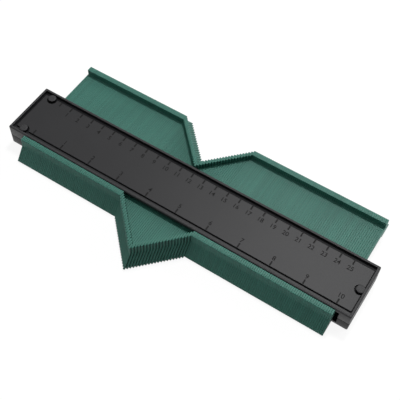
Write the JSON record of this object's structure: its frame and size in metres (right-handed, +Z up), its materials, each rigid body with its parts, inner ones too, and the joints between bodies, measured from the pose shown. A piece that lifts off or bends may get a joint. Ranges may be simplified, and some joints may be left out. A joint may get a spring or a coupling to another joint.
{
  "type": "contour gauge",
  "caption": "Contour gauge: a flat grey two-shell body with length scales holds a comb of green sliding tines, set to a V-shaped notch",
  "frame": {"origin": "centre of the body's underside, on the surface the gauge lies on", "axes": "+X along the body towards the high numbers of the scales, +Y to the back, the side with the centimetre scale, +Z up"},
  "size_m": [0.287, 0.1349, 0.0186],
  "materials": {
    "body_plastic": "dark grey moulded plastic with a fine texture",
    "tine_plastic": "grey green moulded plastic, smooth",
    "strip_rubber": "soft black rubber strip",
    "screw_steel": "zinc-plated steel"
  },
  "bodies": {
    "body": {"bottom_cover": "body_plastic", "lower_friction_strip": "strip_rubber", "screw_left_back": "screw_steel", "screw_left_front": "screw_steel", "screw_right": "screw_steel", "top_cover": "body_plastic", "upper_friction_strip": "strip_rubber"},
    "slider_tine_061": {"tine_061": "tine_plastic"},
    "slider_tine_062": {"tine_062": "tine_plastic"},
    "slider_tine_063": {"tine_063": "tine_plastic"},
    "slider_tine_064": {"tine_064": "tine_plastic"},
    "slider_tine_065": {"tine_065": "tine_plastic"},
    "slider_tine_066": {"tine_066": "tine_plastic"},
    "slider_tine_067": {"tine_067": "tine_plastic"},
    "slider_tine_068": {"tine_068": "tine_plastic"},
    "slider_tine_069": {"tine_069": "tine_plastic"},
    "slider_tine_070": {"tine_070": "tine_plastic"},
    "slider_tine_071": {"tine_071": "tine_plastic"},
    "slider_tine_072": {"tine_072": "tine_plastic"},
    "slider_tine_073": {"tine_073": "tine_plastic"},
    "slider_tine_074": {"tine_074": "tine_plastic"},
    "slider_tine_075": {"tine_075": "tine_plastic"},
    "slider_tine_076": {"tine_076": "tine_plastic"},
    "slider_tine_077": {"tine_077": "tine_plastic"},
    "slider_tine_078": {"tine_078": "tine_plastic"},
    "slider_tine_079": {"tine_079": "tine_plastic"},
    "slider_tine_080": {"tine_080": "tine_plastic"},
    "slider_tine_081": {"tine_081": "tine_plastic"},
    "slider_tine_082": {"tine_082": "tine_plastic"},
    "slider_tine_083": {"tine_083": "tine_plastic"},
    "slider_tine_084": {"tine_084": "tine_plastic"},
    "slider_tine_085": {"tine_085": "tine_plastic"},
    "slider_tine_086": {"tine_086": "tine_plastic"},
    "slider_tine_087": {"tine_087": "tine_plastic"},
    "slider_tine_088": {"tine_088": "tine_plastic"},
    "slider_tine_089": {"tine_089": "tine_plastic"},
    "slider_tine_090": {"tine_090": "tine_plastic"},
    "slider_tine_091": {"tine_091": "tine_plastic"},
    "slider_tine_092": {"tine_092": "tine_plastic"},
    "slider_tine_093": {"tine_093": "tine_plastic"},
    "slider_tine_094": {"tine_094": "tine_plastic"},
    "slider_tine_095": {"tine_095": "tine_plastic"},
    "slider_tine_096": {"tine_096": "tine_plastic"},
    "slider_tine_097": {"tine_097": "tine_plastic"},
    "slider_tine_098": {"tine_098": "tine_plastic"},
    "slider_tine_099": {"tine_099": "tine_plastic"},
    "slider_tines_001_012": {"tines_001_012": "tine_plastic"},
    "slider_tines_013_024": {"tines_013_024": "tine_plastic"},
    "slider_tines_025_036": {"tines_025_036": "tine_plastic"},
    "slider_tines_037_048": {"tines_037_048": "tine_plastic"},
    "slider_tines_049_060": {"tines_049_060": "tine_plastic"},
    "slider_tines_100_111": {"tines_100_111": "tine_plastic"},
    "slider_tines_112_123": {"tines_112_123": "tine_plastic"},
    "slider_tines_124_135": {"tines_124_135": "tine_plastic"},
    "slider_tines_136_147": {"tines_136_147": "tine_plastic"},
    "slider_tines_148_159": {"tines_148_159": "tine_plastic"},
    "slider_tines_160_171": {"tines_160_171": "tine_plastic"}
  },
  "joints": [
    {"name": "slide_tine_061", "type": "slide", "parent": "body", "child": "slider_tine_061", "axis": [0, 1, 0], "range_m": [-0.03043, 0.00158]},
    {"name": "slide_tine_062", "type": "slide", "parent": "body", "child": "slider_tine_062", "axis": [0, 1, 0], "range_m": [-0.02885, 0.00315]},
    {"name": "slide_tine_063", "type": "slide", "parent": "body", "child": "slider_tine_063", "axis": [0, 1, 0], "range_m": [-0.02728, 0.00473]},
    {"name": "slide_tine_064", "type": "slide", "parent": "body", "child": "slider_tine_064", "axis": [0, 1, 0], "range_m": [-0.0257, 0.0063]},
    {"name": "slide_tine_065", "type": "slide", "parent": "body", "child": "slider_tine_065", "axis": [0, 1, 0], "range_m": [-0.02413, 0.00788]},
    {"name": "slide_tine_066", "type": "slide", "parent": "body", "child": "slider_tine_066", "axis": [0, 1, 0], "range_m": [-0.02255, 0.00945]},
    {"name": "slide_tine_067", "type": "slide", "parent": "body", "child": "slider_tine_067", "axis": [0, 1, 0], "range_m": [-0.02098, 0.01103]},
    {"name": "slide_tine_068", "type": "slide", "parent": "body", "child": "slider_tine_068", "axis": [0, 1, 0], "range_m": [-0.0194, 0.0126]},
    {"name": "slide_tine_069", "type": "slide", "parent": "body", "child": "slider_tine_069", "axis": [0, 1, 0], "range_m": [-0.01783, 0.01418]},
    {"name": "slide_tine_070", "type": "slide", "parent": "body", "child": "slider_tine_070", "axis": [0, 1, 0], "range_m": [-0.01625, 0.01575]},
    {"name": "slide_tine_071", "type": "slide", "parent": "body", "child": "slider_tine_071", "axis": [0, 1, 0], "range_m": [-0.01468, 0.01733]},
    {"name": "slide_tine_072", "type": "slide", "parent": "body", "child": "slider_tine_072", "axis": [0, 1, 0], "range_m": [-0.0131, 0.0189]},
    {"name": "slide_tine_073", "type": "slide", "parent": "body", "child": "slider_tine_073", "axis": [0, 1, 0], "range_m": [-0.01153, 0.02048]},
    {"name": "slide_tine_074", "type": "slide", "parent": "body", "child": "slider_tine_074", "axis": [0, 1, 0], "range_m": [-0.00995, 0.02205]},
    {"name": "slide_tine_075", "type": "slide", "parent": "body", "child": "slider_tine_075", "axis": [0, 1, 0], "range_m": [-0.00838, 0.02363]},
    {"name": "slide_tine_076", "type": "slide", "parent": "body", "child": "slider_tine_076", "axis": [0, 1, 0], "range_m": [-0.0068, 0.0252]},
    {"name": "slide_tine_077", "type": "slide", "parent": "body", "child": "slider_tine_077", "axis": [0, 1, 0], "range_m": [-0.00522, 0.02678]},
    {"name": "slide_tine_078", "type": "slide", "parent": "body", "child": "slider_tine_078", "axis": [0, 1, 0], "range_m": [-0.00365, 0.02835]},
    {"name": "slide_tine_079", "type": "slide", "parent": "body", "child": "slider_tine_079", "axis": [0, 1, 0], "range_m": [-0.00208, 0.02993]},
    {"name": "slide_tine_080", "type": "slide", "parent": "body", "child": "slider_tine_080", "axis": [0, 1, 0], "range_m": [-0.0005, 0.0315]},
    {"name": "slide_tine_081", "type": "slide", "parent": "body", "child": "slider_tine_081", "axis": [0, 1, 0], "range_m": [-0.00208, 0.02993]},
    {"name": "slide_tine_082", "type": "slide", "parent": "body", "child": "slider_tine_082", "axis": [0, 1, 0], "range_m": [-0.00365, 0.02835]},
    {"name": "slide_tine_083", "type": "slide", "parent": "body", "child": "slider_tine_083", "axis": [0, 1, 0], "range_m": [-0.00522, 0.02678]},
    {"name": "slide_tine_084", "type": "slide", "parent": "body", "child": "slider_tine_084", "axis": [0, 1, 0], "range_m": [-0.0068, 0.0252]},
    {"name": "slide_tine_085", "type": "slide", "parent": "body", "child": "slider_tine_085", "axis": [0, 1, 0], "range_m": [-0.00838, 0.02363]},
    {"name": "slide_tine_086", "type": "slide", "parent": "body", "child": "slider_tine_086", "axis": [0, 1, 0], "range_m": [-0.00995, 0.02205]},
    {"name": "slide_tine_087", "type": "slide", "parent": "body", "child": "slider_tine_087", "axis": [0, 1, 0], "range_m": [-0.01153, 0.02048]},
    {"name": "slide_tine_088", "type": "slide", "parent": "body", "child": "slider_tine_088", "axis": [0, 1, 0], "range_m": [-0.0131, 0.0189]},
    {"name": "slide_tine_089", "type": "slide", "parent": "body", "child": "slider_tine_089", "axis": [0, 1, 0], "range_m": [-0.01468, 0.01733]},
    {"name": "slide_tine_090", "type": "slide", "parent": "body", "child": "slider_tine_090", "axis": [0, 1, 0], "range_m": [-0.01625, 0.01575]},
    {"name": "slide_tine_091", "type": "slide", "parent": "body", "child": "slider_tine_091", "axis": [0, 1, 0], "range_m": [-0.01783, 0.01418]},
    {"name": "slide_tine_092", "type": "slide", "parent": "body", "child": "slider_tine_092", "axis": [0, 1, 0], "range_m": [-0.0194, 0.0126]},
    {"name": "slide_tine_093", "type": "slide", "parent": "body", "child": "slider_tine_093", "axis": [0, 1, 0], "range_m": [-0.02098, 0.01103]},
    {"name": "slide_tine_094", "type": "slide", "parent": "body", "child": "slider_tine_094", "axis": [0, 1, 0], "range_m": [-0.02255, 0.00945]},
    {"name": "slide_tine_095", "type": "slide", "parent": "body", "child": "slider_tine_095", "axis": [0, 1, 0], "range_m": [-0.02413, 0.00788]},
    {"name": "slide_tine_096", "type": "slide", "parent": "body", "child": "slider_tine_096", "axis": [0, 1, 0], "range_m": [-0.0257, 0.0063]},
    {"name": "slide_tine_097", "type": "slide", "parent": "body", "child": "slider_tine_097", "axis": [0, 1, 0], "range_m": [-0.02728, 0.00473]},
    {"name": "slide_tine_098", "type": "slide", "parent": "body", "child": "slider_tine_098", "axis": [0, 1, 0], "range_m": [-0.02885, 0.00315]},
    {"name": "slide_tine_099", "type": "slide", "parent": "body", "child": "slider_tine_099", "axis": [0, 1, 0], "range_m": [-0.03043, 0.00158]},
    {"name": "slide_tines_001_012", "type": "slide", "parent": "body", "child": "slider_tines_001_012", "axis": [0, 1, 0], "range_m": [-0.032, 0]},
    {"name": "slide_tines_013_024", "type": "slide", "parent": "body", "child": "slider_tines_013_024", "axis": [0, 1, 0], "range_m": [-0.032, 0]},
    {"name": "slide_tines_025_036", "type": "slide", "parent": "body", "child": "slider_tines_025_036", "axis": [0, 1, 0], "range_m": [-0.032, 0]},
    {"name": "slide_tines_037_048", "type": "slide", "parent": "body", "child": "slider_tines_037_048", "axis": [0, 1, 0], "range_m": [-0.032, 0]},
    {"name": "slide_tines_049_060", "type": "slide", "parent": "body", "child": "slider_tines_049_060", "axis": [0, 1, 0], "range_m": [-0.032, 0]},
    {"name": "slide_tines_100_111", "type": "slide", "parent": "body", "child": "slider_tines_100_111", "axis": [0, 1, 0], "range_m": [-0.032, 0]},
    {"name": "slide_tines_112_123", "type": "slide", "parent": "body", "child": "slider_tines_112_123", "axis": [0, 1, 0], "range_m": [-0.032, 0]},
    {"name": "slide_tines_124_135", "type": "slide", "parent": "body", "child": "slider_tines_124_135", "axis": [0, 1, 0], "range_m": [-0.032, 0]},
    {"name": "slide_tines_136_147", "type": "slide", "parent": "body", "child": "slider_tines_136_147", "axis": [0, 1, 0], "range_m": [-0.032, 0]},
    {"name": "slide_tines_148_159", "type": "slide", "parent": "body", "child": "slider_tines_148_159", "axis": [0, 1, 0], "range_m": [-0.032, 0]},
    {"name": "slide_tines_160_171", "type": "slide", "parent": "body", "child": "slider_tines_160_171", "axis": [0, 1, 0], "range_m": [-0.032, 0]}
  ]
}
